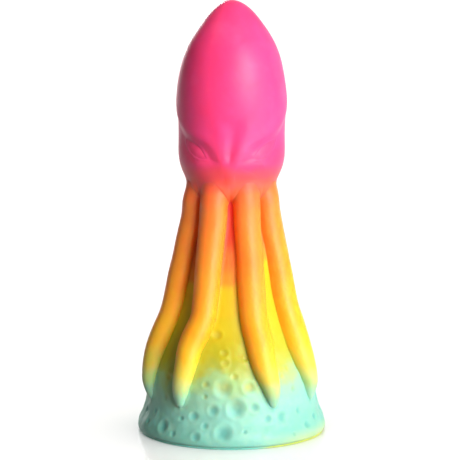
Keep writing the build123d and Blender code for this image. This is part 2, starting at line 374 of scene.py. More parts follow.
class ArmPath:
    """An arm's centre line from tip to root, with its half-width, half-depth and directions."""

    def __init__(self, bends, width_share, rings):
        heights = BODY.outline[:, 1]
        start, end = np.searchsorted(heights, (ARM_TIP_HEIGHT, NECK_HEIGHT + ARM_ROOT_RISE))
        run = resample(BODY.outline[start:end], rings)
        even = np.linspace(0, 1, rings)
        eased = 0.5 - 0.5 * np.cos(math.pi * even)
        self.share = RINGS_TO_ENDS * eased + (1 - RINGS_TO_ENDS) * even
        run = np.stack([np.interp(self.share, even, column) for column in run.T], axis=1)
        self.azimuth = arm_azimuth(bends, self.share)
        lean, rise = BODY.lean(run[:, 1])
        lift = ARM_LIFT * smooth(self.share / ARM_TIP_SINK)
        tuck = ROOT_TUCK * smooth((self.share - TUCK_FROM) / TUCK_OVER)
        out = outward(self.azimuth)
        up = np.array([0.0, 0.0, 1.0])
        radius = run[:, 0] + lift * lean - tuck
        height = run[:, 1] + lift * rise
        self.centre = out * radius[:, None] + up * height[:, None]
        along = np.gradient(self.centre, axis=0)
        along /= np.linalg.norm(along, axis=1)[:, None]
        face = out * lean[:, None] + up * rise[:, None]
        side = np.cross(along, face)
        self.side = side / np.linalg.norm(side, axis=1)[:, None]
        self.face = np.cross(self.side, along)
        self.half_width = ARM_HALF_WIDTH * width_share * arm_taper(self.share)
        self.half_depth = self.half_width * ARM_DEPTH_SHARE

    def gap(self, points):
        """Signed distance of points from the arm, good close to it."""
        height = points[:, 2]
        heights = self.centre[:, 2]

        def here(values):
            return np.interp(height, heights, values)

        offset = points - np.stack([here(self.centre[:, i]) for i in range(3)], axis=1)
        azimuth = here(self.azimuth)
        lean = np.hypot(here(self.face[:, 0]), here(self.face[:, 1]))
        beside = np.sum(offset * sideways(azimuth), axis=1)
        above = np.sum(offset * outward(azimuth), axis=1) * lean
        away = np.hypot(beside, above)
        width = np.maximum(here(self.half_width), 1e-3)
        depth = np.maximum(here(self.half_depth), 1e-3)
        ratio = np.maximum(np.hypot(beside / width, above / depth), 1e-6)
        return past_ends(away * (1 - 1 / ratio), height, heights[0], heights[-1])


PATHS = {name: ArmPath(*shape, ARM_RINGS) for name, shape in ARMS.items()}


def arm_gap(points):
    """Signed distance of points from the nearest arm."""
    return np.min([path.gap(points) for path in PATHS.values()], axis=0)


def swell(gap, reach):
    """How far each of two surfaces moves out to round off the crease between them."""
    return np.maximum(reach - np.abs(gap), 0) ** 2 / (4 * reach)


def crease(gap, reach):
    """The swelling of a surface beside the arms, which fades out again inside them."""
    inside = reach / 4 * window(gap, -SKIN_COVER, 0, SKIN_COVER)
    return np.where(gap < 0, inside, swell(gap, reach))


# ---------------------------------------------------------------- meshes

SHARP_ANGLE = 50.0
WELD_DISTANCE = 0.04
THIN_EDGE = 0.0004


def add_mesh(name, points, faces):
    """A smooth-shaded piece from points in millimetres."""
    mesh = bpy.data.meshes.new(name)
    mesh.from_pydata((np.asarray(points) * MM).tolist(), [], faces)
    mesh.validate()
    mesh.polygons.foreach_set("use_smooth", [True] * len(mesh.polygons))
    piece = bpy.data.objects.new(name, mesh)
    bpy.context.scene.collection.objects.link(piece)
    mesh.set_sharp_from_angle(angle=math.radians(SHARP_ANGLE))
    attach(piece, "root")
    return piece


def grid_faces(rows, columns):
    """Quads of a grid that closes on itself around its columns."""
    row = np.arange(rows - 1)[:, None] * columns
    here = np.arange(columns)[None, :]
    after = (here + 1) % columns
    above = row + columns
    quads = np.stack([row + here, row + after, above + after, above + here], axis=-1)
    return quads.reshape(-1, 4).tolist()


def fan(centre, border, flip=False):
    """Triangles from a point to each edge of a ring of points."""
    faces = [(centre, border[i], border[(i + 1) % len(border)]) for i in range(len(border))]
    return [face[::-1] for face in faces] if flip else faces


def close_ends(points, columns, first, last):
    """Points and faces of stacked rings, closed by a fan to a point at each end."""
    count = len(points)
    faces = grid_faces(count // columns, columns)
    faces += fan(count, range(columns), flip=True)
    faces += fan(count + 1, range(count - columns, count))
    return np.vstack([points, first, last]), faces


def ring(out, radius, height):
    """A level ring along some directions, with one radius or one for each direction."""
    points = out * np.reshape(radius, (-1, 1))
    points[:, 2] = height
    return points


def set_numbers(piece, name, values, first=0):
    """Stores a number for each of a run of vertices, and 0 for the rest, for a material to read."""
    attribute = piece.data.attributes.new(name, "FLOAT", "POINT")
    full = np.zeros(len(piece.data.vertices), np.float32)
    full[first : first + len(values)] = values
    attribute.data.foreach_set("value", full)


def weld(piece):
    """Joins points that lie together, and drops loose ones and faces with no area."""
    mesh = bmesh.new()
    mesh.from_mesh(piece.data)
    bmesh.ops.remove_doubles(mesh, verts=mesh.verts, dist=WELD_DISTANCE * MM)
    bmesh.ops.dissolve_degenerate(mesh, edges=mesh.edges, dist=THIN_EDGE * MM)
    bmesh.ops.delete(mesh, geom=[v for v in mesh.verts if not v.link_faces], context="VERTS")
    bmesh.ops.recalc_face_normals(mesh, faces=mesh.faces)
    mesh.to_mesh(piece.data)
    mesh.free()


def waves(points, length, seed):
    """Soft noise from -1 to 1 at points in millimetres, with waves of about the given length."""
    shift = Vector((seed * 17.3, seed * 5.1, seed * 9.7))
    return np.array([noise.noise(Vector(point) / length + shift) for point in points.tolist()])


def uneven(points, size, seed):
    """Soft noise for a pair of (height, length)."""
    height, length = size
    return height * waves(points, length, seed)


# ---------------------------------------------------------------- craters


def crater_list():
    """Every crater as (centre, radius): none touches another, the seam, the rim or an arm."""
    wanted = [(azimuth, share * MOUND_HEIGHT, radius) for azimuth, share, radius in FRONT_CRATERS]
    for i in range(BACK_CRATERS):
        azimuth = BACK_FROM + (i * GOLDEN_ANGLE) % (BACK_TO - BACK_FROM)
        share = CRATER_ROWS[0] + (CRATER_ROWS[1] - CRATER_ROWS[0]) * i / BACK_CRATERS
        wanted.append((azimuth, share * MOUND_HEIGHT, CRATER_RADII[i % len(CRATER_RADII)]))
    kept = []
    for azimuth, height, radius in wanted:
        place = outward(azimuth) * BODY.radius(height) + np.array([0, 0, height])
        apart = radius + CRATER_SPACING
        clear = all(np.linalg.norm(place - other) > apart + r for other, r in kept)
        inside = RIM_HEIGHT + RIM_ROUND + radius < height < MOUND_HEIGHT - apart
        if clear and inside and arm_gap(place[None, :])[0] > radius + CRATER_FROM_ARM:
            kept.append((place, radius))
    return kept


CRATERS = crater_list()


def crater_push(points):
    """How far craters push the surface out, and how deep in a crater each point lies, from 0 to 1."""
    push, pit = np.zeros(len(points)), np.zeros(len(points))
    for place, radius in CRATERS:
        reach = np.linalg.norm(points - place, axis=1) / radius
        bowl = smooth(BOWL_EDGE - reach)
        depth = radius * (BOWL_DEPTH if radius > SMALL_CRATER else SMALL_BOWL_DEPTH)
        rim = CRATER_RIM_HEIGHT * radius * bell(reach - CRATER_RIM_AT, CRATER_RIM_WIDTH)
        push += np.where(reach < CRATER_REACH, rim - depth * bowl, 0)
        pit = np.maximum(pit, bowl)
    return push, pit


def body_surface(azimuths, heights):
    """Points of the core and mound, and how deep in a crater each lies."""
    azimuth, height = [values.ravel() for values in np.meshgrid(azimuths, heights)]
    out, lean_out, lean_up = outward(azimuth), *BODY.lean(height)
    base = out * BODY.radius(height)[:, None]
    base[:, 2] = height
    normal = out * lean_out[:, None]
    normal[:, 2] = lean_up
    fillet = crease(arm_gap(base), ARM_FILLET)
    # The rock's lumps fade out towards the rim, and upwards to a little over the seam.
    rock = smooth((MOUND_HEIGHT + 6 - height) / 22) * smooth((height - RIM_HEIGHT) / 3)
    push, pit = crater_push(base)
    lumps = uneven(base, ROCK_WAVES, 1) + uneven(base, ROCK_RIPPLES, 2)
    return base + normal * (fillet + push + rock * lumps)[:, None], pit


# ---------------------------------------------------------------- the face


# The face's turn in degrees, the head's radius there, and how far from its middle the face reaches
FACE_TURN = -2.0
FACE_RADIUS = 26.3
FACE_HALF_WIDTH, FACE_HEIGHT = 60.0, 50.0

# Under the brow, from beside the nose out and up to the side of the head: distance along the skin,
# height over the neck, how deep the socket is there
BROW = [
    (2.4, 6.0, 0.2),
    (3.6, 9.5, 0.6),
    (5.2, 12.2, 0.75),
    (7.4, 15.4, 0.95),
    (9.9, 18.6, 1.2),
    (13.5, 20.9, 1.4),
    (19.0, 22.6, 1.5),
    (25.0, 25.0, 1.3),
    (31.0, 29.0, 1.1),
    (38.0, 34.5, 0.7),
    (45.0, 41.0, 0.3),
]

# The frown's groove starts at this height over the neck and leans sideways for each millimetre up
FROWN_FROM = 13.0
GROOVE_LEAN = 0.15

# The eyes: place along the skin and over the neck, half-sizes, tilt, and the lens's section
EYE_AT = (19.8, 17.0)
EYE_HALF_LENGTH, EYE_HALF_HEIGHT = 9.1, 2.8
EYE_TILT = math.radians(31)
EYE_BULGE, EYE_BACK, EYE_SINK = 0.55, 1.6, 0.15
EYE_DOME = 0.7


def face_place(azimuth, height):
    """Distance along the skin from the face's middle, and height over the neck."""
    turned = (azimuth - FACE_TURN + 180) % 360 - 180
    return np.radians(turned) * FACE_RADIUS, height - NECK_HEIGHT


def below_brow(across, rise):
    """Distance from the brow's edge, positive in the socket, and the socket's depth there."""
    line = np.array(BROW)
    dense = spline_through(line[:, :2], BROW_STEPS)
    depth = np.interp(dense[:, 0], line[:, 0], line[:, 2])
    distance, nearest = np.full(across.shape, 1e3), np.zeros(across.shape)
    for (u, v), d in zip(dense, depth):
        away = np.hypot(across - u, rise - v)
        nearest = np.where(away < distance, d, nearest)
        distance = np.minimum(distance, away)
    edge = np.interp(across, dense[:, 0], dense[:, 1])
    inside = (rise < edge) & (across > dense[0, 0])
    return np.where(inside, distance, -distance), nearest


def eye_place(across, rise):
    """A place in the eye's own directions: -1 to 1 along the almond, and millimetres across it."""
    du, dv = across - EYE_AT[0], rise - EYE_AT[1]
    along = du * math.cos(EYE_TILT) + dv * math.sin(EYE_TILT)
    over = dv * math.cos(EYE_TILT) - du * math.sin(EYE_TILT)
    return along / EYE_HALF_LENGTH, over


def socket_push(across, rise):
    """The hollow under the brow, steep at its edge and fading downwards, and the swell over it."""
    below, depth = below_brow(across, rise)
    hollow = smooth((below + 1.4) / 5.6) * bell(np.maximum(below - 3.0, 0), 7.5)
    above_arms = smooth((rise - 1) / 5)
    brow = 0.12 * bell(below + 3.0, 2.4)
    return depth * (brow - hollow * above_arms)


def frown_push(signed, rise):
    """A groove down the forehead between two ridges, which run together into the nose."""
    beside = signed - GROOVE_LEAN * (rise - FROWN_FROM)
    higher = np.maximum(rise - FROWN_FROM, 0)
    groove = bell(beside / (1.7 + 0.13 * higher), 1.0) * window(rise, 15, 26, 7)
    ridges = bell(np.abs(beside) - 4.2 - 0.22 * higher, 3.0) * window(rise, 13, 26, 7)
    nose_width = np.interp(rise, (-8, 0, 9, 14), (2.4, 3.4, 4.6, 5.8))
    nose = bell(signed / nose_width, 1.0) * window(rise, -3, 9, 6)
    return 0.35 * ridges + 0.5 * nose - 0.75 * groove


def cheek_push(across, rise):
    """The cheeks, and the crease between them and the lower lids."""
    line = np.interp(across, (5, 11, 18, 40), (8.2, 9.8, 10.0, 9.0))
    cheek = bell(rise - line, 2.8) * window(across, 8, 18, 7)
    fold = bell(rise - line - 3.0, 1.0) * window(across, 7, 15, 4)
    return 0.38 * cheek - 0.16 * fold


def lid_push(across, rise):
    """The lower and the upper lid, just outside the eye's border."""
    along, over = eye_place(across, rise)
    border = EYE_HALF_HEIGHT * np.clip(1 - along**2, 0, None)
    lower = bell(-over - border - 0.35, 0.6) * window(along, -0.85, 0.85, 0.3)
    upper = bell(over - border - 0.6, 0.8) * window(along, -0.8, 0.8, 0.4)
    return 0.26 * lower + 0.2 * upper


def face_push(azimuth, height):
    """How far the face's features push the mantle's surface out."""
    signed, rise = face_place(azimuth, height)
    across = np.abs(signed)
    push = np.zeros_like(signed)
    near = (across < FACE_HALF_WIDTH) & (rise < FACE_HEIGHT)
    across, rise, signed = across[near], rise[near], signed[near]
    push[near] = socket_push(across, rise) + frown_push(signed, rise)
    push[near] += cheek_push(across, rise) + lid_push(across, rise)
    return push


def mantle_surface(azimuth, height, radius, lean_out, lean_up, lift=0.0):
    """Points of the mantle's skin, or lifted above it."""
    out = outward(azimuth)
    base = out * radius[:, None]
    base[:, 2] = height
    normal = out * lean_out[:, None]
    normal[:, 2] = lean_up
    # The web's fillet fades out just over the neck.
    fillet = crease(arm_gap(base), WEB_FILLET) * smooth((NECK_HEIGHT + 4 - height) / 7)
    push = fillet + face_push(azimuth, height) + uneven(base, MANTLE_WAVES, 3)
    return base + normal * (push + lift)[:, None]


def make_mantle():
    """From the tip down over the face to the hem between the arms."""
    outline, normal = MANTLE.outline[::-1], MANTLE.normal[::-1]
    length = np.concatenate([[0], np.cumsum(np.linalg.norm(np.diff(outline, axis=0), axis=1))])
    fine_from = np.interp(-(NECK_HEIGHT + MANTLE_FINE_BELOW), -outline[:, 1], length)
    coarse = np.linspace(0, fine_from, MANTLE_COARSE_ROWS)[1:-1]
    rows = np.concatenate([coarse, np.linspace(fine_from, length[-1], MANTLE_FINE_ROWS)])
    azimuth = np.tile(AZIMUTHS, len(rows))

    def at(values):
        return np.repeat(np.interp(rows, length, values), COLUMNS)

    height, radius = at(outline[:, 1]), at(outline[:, 0])
    points = mantle_surface(azimuth, height, radius, at(normal[:, 0]), at(normal[:, 1]))
    points, faces = close_ends(points, COLUMNS, (0, 0, TOTAL_HEIGHT), (0, 0, SKIRT_BOTTOM))
    # The rows run downwards, so the faces are turned over.
    return add_mesh("mantle_skin", points, [face[::-1] for face in faces])


def make_eye(name, side):
    """An almond lens: a low dome in front and a deeper one behind that share their border."""
    steps, rows = EYE_STEPS, EYE_STEPS // 2
    along, over = np.meshgrid(np.linspace(-1, 1, steps), np.linspace(-1, 1, rows))
    # Points lie closer together towards the border.
    along, over = np.sin(along.ravel() * math.pi / 2), np.sin(over.ravel() * math.pi / 2)
    x = along * EYE_HALF_LENGTH
    y = over * EYE_HALF_HEIGHT * (1 - along**2)
    across = EYE_AT[0] + x * math.cos(EYE_TILT) - y * math.sin(EYE_TILT)
    rise = EYE_AT[1] + x * math.sin(EYE_TILT) + y * math.cos(EYE_TILT)
    azimuth = np.degrees(side * across / FACE_RADIUS) + FACE_TURN
    height = rise + NECK_HEIGHT
    dome = np.clip((1 - over**2) * (1 - along**2), 0, None) ** EYE_DOME
    skin = (azimuth, height, MANTLE.radius(height), *MANTLE.lean(height))
    front = mantle_surface(*skin, EYE_BULGE * dome - EYE_SINK)
    back = mantle_surface(*skin, -EYE_BACK * dome - EYE_SINK)
    index = np.arange(len(x))
    border = (np.abs(along) > 0.9999) | (np.abs(over) > 0.9999)
    front_grid = index.reshape(rows, steps)
    back_grid = np.where(border, index, index + len(x)).reshape(rows, steps)
    faces = []
    for grid, flip in ((front_grid, side < 0), (back_grid, side > 0)):
        for i in range(rows - 1):
            for j in range(steps - 1):
                quad = [grid[i, j], grid[i, j + 1], grid[i + 1, j + 1], grid[i + 1, j]]
                faces.append([int(v) for v in (quad[::-1] if flip else quad)])
    piece = add_mesh(name, np.vstack([front, back]), faces)
    weld(piece)
    return piece


# ---------------------------------------------------------------- arms, core, mound and foot


def make_arm(name, path, seed):
    """A tapering tube that swells into what it lies on and into the mantle over it."""
    turn = np.arange(ARM_SIDES) * 2 * math.pi / ARM_SIDES
    across, over = np.cos(turn)[None, :, None], np.sin(turn)[None, :, None]
    radial = path.side[:, None] * across + path.face[:, None] * over
    wide = path.side[:, None] * path.half_width[:, None, None]
    deep = path.face[:, None] * path.half_depth[:, None, None]
    points = (path.centre[:, None] + wide * across + deep * over).reshape(-1, 3)
    radial = radial.reshape(-1, 3)
    share = np.repeat(path.share, ARM_SIDES)
    thick = np.repeat(path.half_width, ARM_SIDES) / ARM_HALF_WIDTH
    push = swell(BODY.gap(points), ARM_FILLET) + swell(MANTLE.gap(points), ROOT_FILLET)
    push *= smooth(share / 0.06)
    push += thick * (uneven(points, ARM_WAVES, seed) + uneven(points, ARM_RIPPLES, seed + 3))
    push += ARM_PLUMP.get(name, 0) * window(share, 0.22, 0.52, 0.2)
    if not name.endswith("_1"):
        # Low ripples along the edge that faces away from the face
        rear = 1 if name.startswith("right") else -1
        edge = np.clip(rear * np.tile(np.cos(turn), ARM_RINGS), 0, 1) ** 5
        ripple = np.sin(points[:, 2] * 2 * math.pi / RIPPLE_LENGTH)
        push += RIPPLE_HEIGHT * edge * window(share, 0.40, 0.86, 0.1) * ripple
    points = points + radial * push[:, None]
    inner = points[ARM_SIDES:-ARM_SIDES]
    points, faces = close_ends(inner, ARM_SIDES, path.centre[0], path.centre[-1])
    return add_mesh(name + "_skin", points, faces)


def make_mound():
    """The rock: its skin from under the rim to the seam, its top, its bore and its underside."""
    skin, pit = body_surface(AZIMUTHS, np.linspace(RIM_HEIGHT, MOUND_HEIGHT, MOUND_ROWS))
    out = outward(AZIMUTHS)
    wobble = 1 + RIM_WOBBLE * waves(out * WAVE_CIRCLE, 9.0, 4)
    under = [
        ring(out, BASE_RADIUS - 1.6, LIP_THICKNESS),
        ring(out, (BASE_RADIUS - 0.9) * wobble, LIP_THICKNESS + 0.08),
        ring(out, (BASE_RADIUS - 0.3) * wobble, LIP_THICKNESS + 0.5),
    ]
    inside = [
        ring(out, SPIGOT_RADIUS, MOUND_HEIGHT),
        ring(out, SPIGOT_RADIUS, FOOT_THICKNESS),
        ring(out, PLUG_RADIUS, FOOT_THICKNESS),
        ring(out, PLUG_RADIUS, LIP_THICKNESS),
    ]
    points = np.vstack([*under, skin, *inside])
    # One row more joins the last ring to the first.
    faces = grid_faces(len(points) // COLUMNS + 1, COLUMNS)
    faces = [[corner % len(points) for corner in quad] for quad in faces]
    piece = add_mesh("rock_mound_skin", points, faces)
    set_numbers(piece, "pit", pit, first=len(under) * COLUMNS)
    return piece


def make_core():
    """The bare column above the seam, and the spigot inside the mound."""
    skin, _ = body_surface(AZIMUTHS, np.linspace(MOUND_HEIGHT, SKIRT_BOTTOM, CORE_ROWS))
    out = outward(AZIMUTHS)
    below = [ring(out, SPIGOT_RADIUS, height) for height in (FOOT_THICKNESS, MOUND_HEIGHT)]
    ends = (0, 0, FOOT_THICKNESS), (0, 0, SKIRT_BOTTOM)
    points, faces = close_ends(np.vstack([*below, skin]), COLUMNS, *ends)
    return add_mesh("core_skin", points, faces)


def make_foot():
    """A disc with a rounded lip, a flat ring to stand on, a shallow dish inside it and a plug above."""
    azimuths = AZIMUTHS[::2]
    out = outward(azimuths)
    lip_waves = uneven(out * WAVE_CIRCLE, LIP_WAVES, 5)
    dish = LIP_RADIUS - REST_RING_WIDTH
    ball = (dish**2 + DISH_DEPTH**2) / (2 * DISH_DEPTH)
    # Radius, height, and whether the lip's waves show there
    outline = []
    for radius in np.linspace(dish / DISH_RINGS, dish, DISH_RINGS):
        outline.append((radius, DISH_DEPTH - ball + math.sqrt(ball**2 - radius**2), 0))
    outline += [
        (dish + 0.4, 0.0, 0),
        (LIP_RADIUS - 0.35, 0.0, 1),
        (LIP_RADIUS - 0.08, 0.12, 1),
        (LIP_RADIUS, LIP_THICKNESS / 2, 1),
        (LIP_RADIUS - 0.05, LIP_THICKNESS - 0.05, 1),
        (PLUG_RADIUS, LIP_THICKNESS, 0),
        (PLUG_RADIUS, FOOT_THICKNESS, 0),
    ]
    rings = [ring(out, r + edge * lip_waves, max(height, 0.0)) for r, height, edge in outline]
    ends = (0, 0, DISH_DEPTH), (0, 0, FOOT_THICKNESS)
    points, faces = close_ends(np.vstack(rings), len(azimuths), *ends)
    piece = add_mesh("suction_foot_skin", points, faces)
    yellow = window(azimuths, *YELLOW_LIP, YELLOW_FADE)
    set_numbers(piece, "yellow", np.tile(yellow, len(rings)))
    return piece


# ---------------------------------------------------------------- materials


def linear(*screen):
    """A screen colour, red, green and blue from 0 to 255, as the numbers that shaders take."""
    shares = [value / 255 for value in screen]
    light = [c / 12.92 if c < 0.04045 else ((c + 0.055) / 1.055) ** 2.4 for c in shares]
    return (*light, 1.0)


class Nodes:
    """Short calls for building a material's nodes."""

    def __init__(self, name):
        self.material = bpy.data.materials.new(name)
        self.material.use_nodes = True
        self.tree = self.material.node_tree
        self.shader = self.tree.nodes["Principled BSDF"]
        coordinates = self.add("ShaderNodeTexCoord")
        self.object_place = coordinates.outputs["Object"]

    def add(self, kind, **settings):
        node = self.tree.nodes.new(kind)
        for key, value in settings.items():
            setattr(node, key, value)
        return node

    def link(self, output, socket):
        if isinstance(output, (int, float, tuple)):
            socket.default_value = output
        else:
            self.tree.links.new(output, socket)

    def math(self, operation, first, second=0.0):
        node = self.add("ShaderNodeMath", operation=operation)
        self.link(first, node.inputs[0])
        self.link(second, node.inputs[1])
        return node.outputs[0]

    def noise(self, scale, detail=2.0, roughness=0.5):
        node = self.add("ShaderNodeTexNoise")
        node.inputs["Scale"].default_value = scale
        node.inputs["Detail"].default_value = detail
        node.inputs["Roughness"].default_value = roughness
        self.link(self.object_place, node.inputs["Vector"])
        return node.outputs["Fac"]

    def spread(self, value, low_in, high_in, low_out=0.0, high_out=1.0, ease="LINEAR"):
        """The value from low_in to high_in as one from low_out to high_out, and level beyond."""
        node = self.add("ShaderNodeMapRange", interpolation_type=ease)
        self.link(value, node.inputs["Value"])
        self.link(low_in, node.inputs["From Min"])
        self.link(high_in, node.inputs["From Max"])
        self.link(low_out, node.inputs["To Min"])
        self.link(high_out, node.inputs["To Max"])
        return node.outputs["Result"]

    def ramp(self, value, stops):
        """A colour from a value between 0 and 1, easing from stop to stop."""
        node = self.add("ShaderNodeValToRGB")
        node.color_ramp.interpolation = "EASE"
        elements = node.color_ramp.elements
        while len(elements) > 1:
            elements.remove(elements[-1])
        elements[0].position, elements[0].color = stops[0]
        for position, color in stops[1:]:
            elements.new(position).color = color
        self.link(value, node.inputs["Fac"])
        return node.outputs["Color"]

    def mix(self, share, first, second, blend_type="MIX"):
        node = self.add("ShaderNodeMix", data_type="RGBA", blend_type=blend_type)
        self.link(share, node.inputs["Factor"])
        self.link(first, node.inputs["A"])
        self.link(second, node.inputs["B"])
        return node.outputs["Result"]

    def place(self):
        """X and Z in millimetres."""
        split = self.add("ShaderNodeSeparateXYZ")
        self.link(self.object_place, split.inputs[0])
        return [self.math("DIVIDE", split.outputs[axis], MM) for axis in "XZ"]

    def drift(self, scale, reach):
        """Noise from -reach to reach, for borders that wander where two pours of silicone meet."""
        return self.spread(self.noise(scale, 3.0), 0.25, 0.75, -reach, reach)

    def by_height(self, height, colors):
        """Colour from a list of (height in millimetres, red, green, blue), lowest first."""
        bottom, top = colors[0][0], colors[-1][0]
        stops = [((h - bottom) / (top - bottom), linear(*rgb)) for h, *rgb in colors]
        return self.ramp(self.spread(height, bottom, top), stops)

    def silicone(self, color, roughness=(0.36, 0.48), grain=0.12, scatter=0.6, reach=5.0):
        """Satin silicone: light scattered under the skin, an uneven sheen and a faint mould grain.

        grain is the relief's height and reach how far light runs under the skin, in millimetres.
        """
        shader = self.shader
        self.link(color, shader.inputs["Base Color"])
        sheen = self.spread(self.noise(60.0, 4.0), 0.3, 0.7, *roughness)
        self.link(sheen, shader.inputs["Roughness"])
        shader.inputs["IOR"].default_value = 1.41
        shader.inputs["Specular IOR Level"].default_value = 0.32
        self.link(scatter, shader.inputs["Subsurface Weight"])
        shader.inputs["Subsurface Radius"].default_value = (1.0, 0.35, 0.2)
        shader.inputs["Subsurface Scale"].default_value = reach * MM
        fine = self.noise(1500.0, 2.0)
        broad = self.noise(110.0, 3.0)
        relief = self.math("ADD", self.math("MULTIPLY", fine, 0.25), broad)
        bump = self.add("ShaderNodeBump")
        bump.inputs["Strength"].default_value = 0.35
        bump.inputs["Distance"].default_value = grain * MM
        self.link(relief, bump.inputs["Height"])
        self.link(bump.outputs["Normal"], shader.inputs["Normal"])
        return self.material


# Colours along the figure: height in millimetres, then red, green and blue as on a screen
MANTLE_COLORS = [
    (114, 246, 106, 50),
    (121, 248, 100, 62),
    (126, 248, 90, 78),
    (130, 247, 80, 92),
    (136, 247, 68, 119),
    (150, 248, 64, 127),
    (185, 248, 62, 123),
    (214, 246, 61, 117),
]
ARM_COLORS = [
    (17, 140, 196, 176),
    (22, 146, 197, 166),
    (28, 176, 199, 128),
    (34, 212, 190, 70),
    (42, 238, 180, 38),
    (56, 247, 167, 32),
    (76, 248, 152, 37),
    (96, 247, 139, 42),
    (110, 246, 130, 46),
    (119, 246, 116, 54),
    (124, 246, 98, 66),
    (127, 246, 88, 76),
]
BODY_COLORS_AND_SHADE = [
    (0, 120, 180, 162),
    (13, 132, 188, 169),
    (23, 145, 191, 160),
    (30, 160, 190, 126),
    (36, 174, 176, 66),
    # From 43 to 73 mm the yellow is darker than the silicone's own: painted shade of the hollows between
    # the arms.
    (43, 182, 172, 34),
    (56, 194, 172, 22),
    (73, 222, 178, 22),
    (78, 234, 140, 38),
    (88, 234, 112, 42),
    (100, 224, 66, 36),
    (116, 232, 54, 42),
]


def mantle_material():
    """Pink with faint clouds in it, darker and lighter, and orange at the hem."""
    nodes = Nodes("pink_silicone")
    _, height = nodes.place()
    color = nodes.by_height(nodes.math("ADD", height, nodes.drift(36.0, 2.4)), MANTLE_COLORS)
    cloud = nodes.noise(42.0, 3.0, 0.55)
    color = nodes.mix(nodes.spread(cloud, 0.52, 0.72, 0.0, 0.4), color, linear(240, 43, 101))
    color = nodes.mix(nodes.spread(cloud, 0.46, 0.28, 0.0, 0.34), color, linear(252, 98, 149))
    return nodes.silicone(color)


def eye_material():
    """The mantle's pink. Its light runs less far, because the lenses are thin."""
    nodes = Nodes("eye_silicone")
    cloud = nodes.spread(nodes.noise(180.0), 0.3, 0.7)
    color = nodes.mix(cloud, linear(247, 60, 112), linear(250, 72, 124))
    return nodes.silicone(color, roughness=(0.42, 0.5), scatter=0.25, reach=1.5)


def arm_material():
    """Teal tips, then yellow and orange up to the hem."""
    nodes = Nodes("sunset_silicone")
    across, height = nodes.place()
    # The yellow climbs higher on the arms at the sides.
    beside = nodes.spread(nodes.math("ABSOLUTE", across), 20.0, 30.0)
    climb = nodes.math("MULTIPLY", beside, nodes.spread(height, 30.0, 85.0, -1.0, -17.0))
    level = nodes.math("ADD", nodes.math("ADD", height, nodes.drift(36.0, 2.4)), climb)
    color = nodes.by_height(level, ARM_COLORS)
    cloud = nodes.spread(nodes.noise(38.0, 3.0, 0.55), 0.5, 0.75, 0.0, 0.5)
    warmer = nodes.mix(cloud, linear(255, 255, 255), linear(255, 214, 190))
    return nodes.silicone(nodes.mix(1.0, color, warmer, "MULTIPLY"), scatter=1.0, reach=6.0)


def body_material():
    """The core and the rock: teal below, then yellow and orange, with darker crater floors. The core's
    yellow between the arms is darkened with painted shade.
    """
    nodes = Nodes("rock_silicone")
    across, height = nodes.place()
    # Borders wander more in the rock than above it. On the right, teal and yellow both climb higher.
    reach = nodes.spread(height, 48.0, 66.0, 5.5, 1.6)
    wander = nodes.math("MULTIPLY", nodes.drift(64.0, 1.0), reach)
    right = nodes.math("MAXIMUM", across, 0.0)
    climb = nodes.math("MULTIPLY", right, nodes.spread(height, 45.0, 74.0, -0.22, -0.8))
    level = nodes.math("ADD", height, nodes.math("ADD", wander, climb))
    # The ramp's darker yellow between the arms is painted shade, not the silicone's colour.
    color = nodes.by_height(level, BODY_COLORS_AND_SHADE)
    patches = nodes.spread(nodes.noise(120.0, 4.0, 0.6), 0.5, 0.72, 0.0, 0.3)
    low_down = nodes.spread(height, 34.0, 24.0)
    color = nodes.mix(nodes.math("MULTIPLY", patches, low_down), color, linear(160, 206, 180))
    pit = nodes.add("ShaderNodeAttribute", attribute_name="pit").outputs["Fac"]
    floor_color = nodes.mix(nodes.spread(level, 18.0, 30.0), linear(82, 158, 148), linear(184, 172, 60))
    color = nodes.mix(nodes.spread(pit, 0.1, 1.0, 0.0, 0.6), color, floor_color)
    # The foot's yellow shows through the rim at the right.
    rim_glow = nodes.spread(height, 1.0, 7.0, 0.55, 0.0)
    rim_glow = nodes.math("MULTIPLY", rim_glow, nodes.spread(across, 14.0, 34.0))
    color = nodes.mix(rim_glow, color, linear(196, 196, 92))
    # Light can't run across the seam between two meshes, so it runs in neither of them beside it.
    seam = nodes.math("ABSOLUTE", nodes.math("SUBTRACT", height, MOUND_HEIGHT))
    scatter = nodes.spread(seam, 1.0, 7.0, 0.0, 0.6)
    return nodes.silicone(color, roughness=(0.38, 0.5), grain=0.2, scatter=scatter)


def foot_material():
    """The lip: yellow at the right, teal elsewhere."""
    nodes = Nodes("foot_silicone")
    share = nodes.add("ShaderNodeAttribute", attribute_name="yellow").outputs["Fac"]
    cloud = nodes.spread(nodes.noise(30.0, 3.0), 0.35, 0.65)
    teal = nodes.mix(cloud, linear(112, 188, 170), linear(124, 194, 176))
    yellow = nodes.mix(cloud, linear(172, 188, 92), linear(192, 194, 84))
    return nodes.silicone(nodes.mix(share, teal, yellow))


def floor_material():
    """White, with a sheen around the figure that fades out with distance."""
    nodes = Nodes("floor")
    tone = nodes.spread(nodes.noise(6.0, 3.0), 0.3, 0.7)
    white = nodes.mix(tone, linear(246, 246, 245), linear(249, 249, 248))
    nodes.link(white, nodes.shader.inputs["Base Color"])
    distance = nodes.add("ShaderNodeVectorMath", operation="LENGTH")
    nodes.link(nodes.object_place, distance.inputs[0])
    sheen = nodes.spread(distance.outputs["Value"], 0.04, 0.42, 0.9, 0.0, ease="SMOOTHERSTEP")
    nodes.link(sheen, nodes.shader.inputs["Specular IOR Level"])
    nodes.shader.inputs["Roughness"].default_value = 0.25
    return nodes.material


# ---------------------------------------------------------------- the figure


def finish_piece(piece, material, cad_node):
    """Gives a piece its material and hides the CAD node whose place it takes."""
    piece.data.materials.append(material)
    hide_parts(cad_node)


